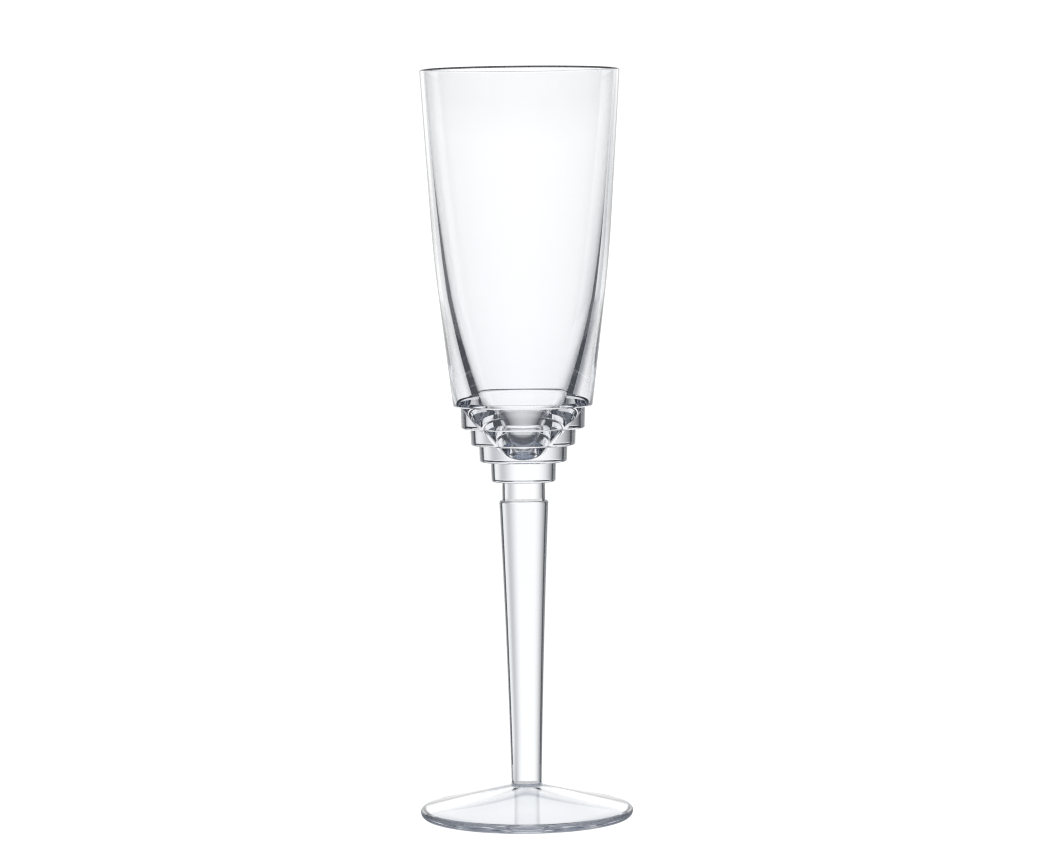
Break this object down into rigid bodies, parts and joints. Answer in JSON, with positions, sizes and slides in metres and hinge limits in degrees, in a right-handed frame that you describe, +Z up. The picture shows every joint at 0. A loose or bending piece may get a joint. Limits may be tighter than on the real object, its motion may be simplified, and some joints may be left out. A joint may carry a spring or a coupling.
{
  "type": "champagne flute",
  "caption": "Tall stemmed glass: a tapering cup on a thick base cut in round steps, a short neck, a slim tapered solid stem and a low conical disc foot.",
  "frame": {"origin": "centre of the face that the foot stands on", "axes": "+Z up along the axis of the stem, from the foot to the rim; the glass is round about Z"},
  "size_m": [0.0698, 0.0698, 0.245],
  "materials": {
    "bowl_crystal": "clear polished crystal, with faint turned polishing lines on the cut steps",
    "stem_crystal": "clear fire-polished crystal",
    "foot_crystal": "clear fire-polished crystal, slightly wavy as a hand-made foot is"
  },
  "bodies": {
    "root": {"bowl": "bowl_crystal", "stem": "stem_crystal", "foot": "foot_crystal"}
  },
  "joints": []
}
